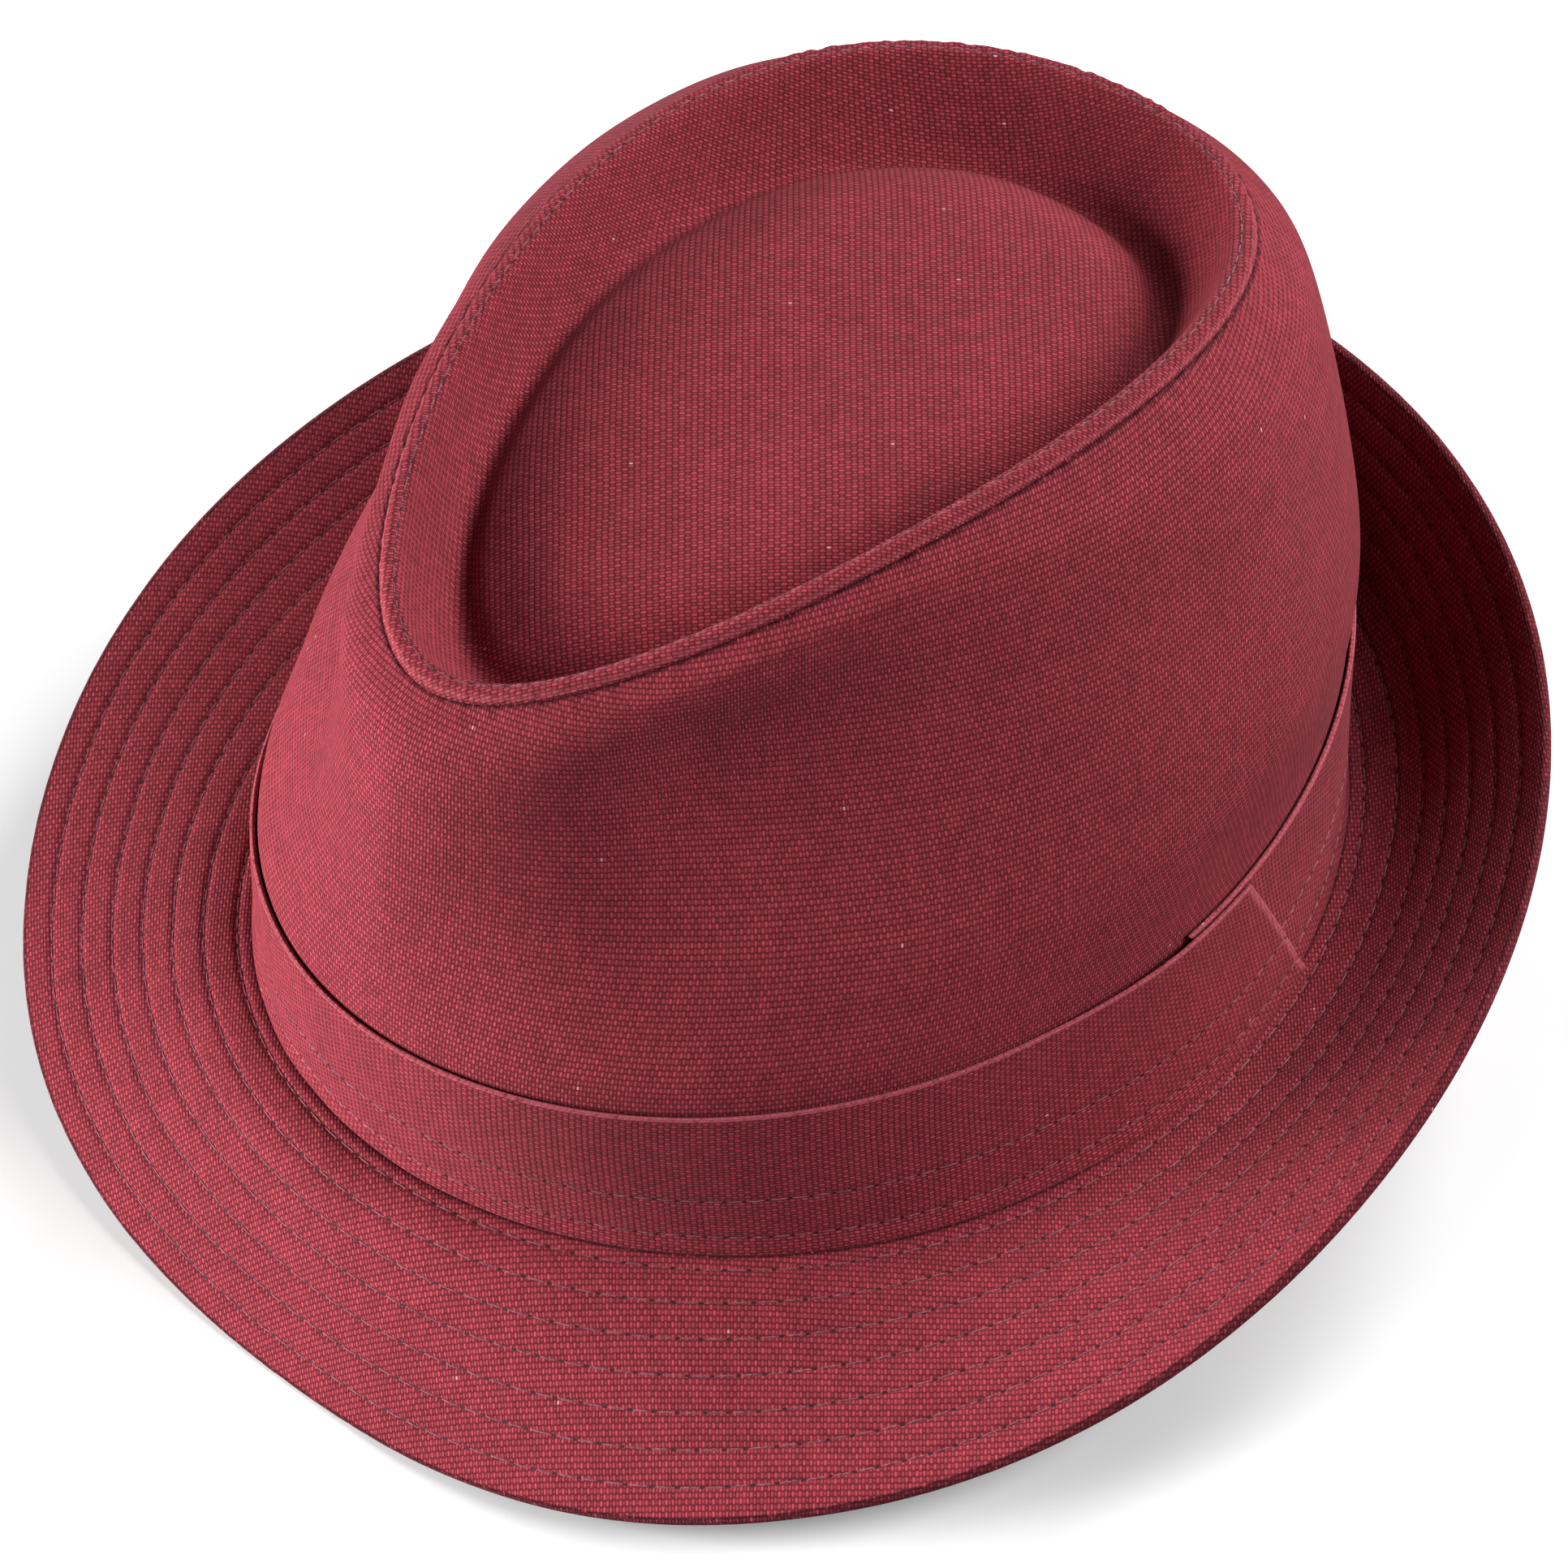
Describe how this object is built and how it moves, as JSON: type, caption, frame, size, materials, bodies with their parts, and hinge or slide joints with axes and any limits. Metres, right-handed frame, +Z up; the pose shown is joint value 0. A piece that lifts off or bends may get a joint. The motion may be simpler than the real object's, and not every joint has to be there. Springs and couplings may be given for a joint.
{
  "type": "trilby hat",
  "caption": "Canvas trilby with a pinched teardrop crown, a lapped self-fabric band and a stitched brim, down in front and up behind.",
  "frame": {"origin": "centre of the bounding box at the floor the hat rests on", "axes": "+Z up, -Y towards the hat's front, +X towards the wearer's left"},
  "size_m": [0.252, 0.2582, 0.1298],
  "materials": {
    "brim_canvas": "matte burgundy cotton canvas, stitched in rows",
    "crown_side_canvas": "matte burgundy cotton canvas",
    "crown_tip_canvas": "matte burgundy cotton canvas",
    "hat_band_canvas": "matte burgundy cotton canvas"
  },
  "bodies": {
    "root": {"brim": "brim_canvas", "crown_side": "crown_side_canvas", "crown_tip": "crown_tip_canvas", "hat_band": "hat_band_canvas"}
  },
  "joints": []
}
